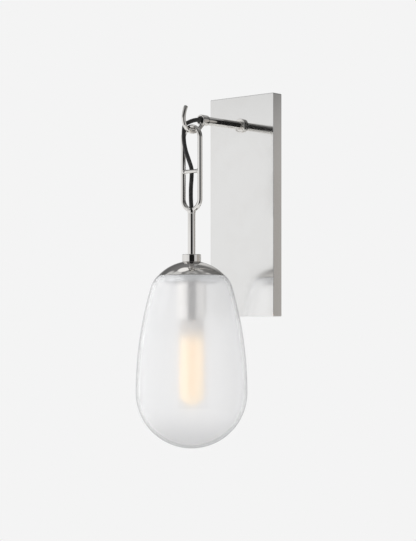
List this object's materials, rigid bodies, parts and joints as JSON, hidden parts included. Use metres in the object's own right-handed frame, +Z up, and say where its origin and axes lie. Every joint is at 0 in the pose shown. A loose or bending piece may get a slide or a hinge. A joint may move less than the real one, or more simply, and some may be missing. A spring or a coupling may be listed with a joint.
{
  "type": "wall sconce",
  "caption": "Wall sconce with a tall flat backplate, an arm with an open hook, and a frosted egg-shaped glass shade hanging from a long chain link.",
  "frame": {"origin": "centre of the backplate's wall face, on the back of the wall bracket", "axes": "+Z up, +Y into the wall, +X to the right seen from the room"},
  "size_m": [0.124, 0.1619, 0.3995],
  "materials": {
    "polished_nickel": "mirror polish",
    "zinc_steel": "zinc plated",
    "lamp_base_nickel": "plain metal",
    "green_screw": "green coating",
    "black_plastic": "moulded",
    "black_cord": "smooth jacket",
    "wire_insulation": "smooth insulation",
    "orange_plastic": "moulded",
    "porcelain": "glazed porcelain",
    "brass": "plain",
    "frosted_glass": "clear outside, satin inside",
    "lamp_glass": "clear",
    "filament": "glowing phosphor"
  },
  "bodies": {
    "mount": {"backplate": "polished_nickel", "wall_bracket": "zinc_steel", "plate_screws": "zinc_steel", "ground_screw": "green_screw", "arm_tube": "polished_nickel", "base_collar": "polished_nickel", "arm_washer": "zinc_steel", "arm_nut": "zinc_steel", "end_sleeve": "polished_nickel", "mouth_bushing": "black_plastic", "arm_cord": "black_cord", "supply_leads": "wire_insulation", "wire_caps": "orange_plastic", "hook": "polished_nickel"},
    "cord": {"cord_span": "black_cord"},
    "pendant": {"link": "polished_nickel", "link_crossbar": "polished_nickel", "stem": "polished_nickel", "stem_cord": "black_cord", "cap_collar": "polished_nickel", "cap": "polished_nickel", "shade_holder": "zinc_steel", "shade_springs": "zinc_steel", "stem_nut": "zinc_steel", "socket_cup": "polished_nickel", "socket_insulator": "porcelain", "socket_shell": "brass", "socket_contact": "brass"},
    "shade": {"shade": "frosted_glass"},
    "lamp": {"lamp_base": "lamp_base_nickel", "lamp_insulator": "black_plastic", "lamp_contact": "brass", "lamp_envelope": "lamp_glass", "lamp_mount": "lamp_glass", "lamp_leads": "zinc_steel", "lamp_filaments": "filament"}
  },
  "joints": [
    {"name": "side_swing", "type": "hinge", "parent": "mount", "child": "cord", "pos_m": [0, -0.0999, 0.0785], "axis": [0, -1, 0], "range_deg": [-30, 30], "deforming": ["cord_span"]},
    {"name": "fore_aft_swing", "type": "hinge", "parent": "cord", "child": "pendant", "pos_m": [0, -0.0999, 0.08375], "axis": [-1, 0, 0], "range_deg": [-7, 30], "deforming": ["cord_span"]},
    {"name": "shade_pull", "type": "slide", "parent": "pendant", "child": "shade", "axis": [0, 0, -1], "range_m": [0, 0.16]},
    {"name": "lamp_unscrew", "type": "slide", "parent": "pendant", "child": "lamp", "axis": [0, 0, -1], "range_m": [0, 0.03]}
  ]
}
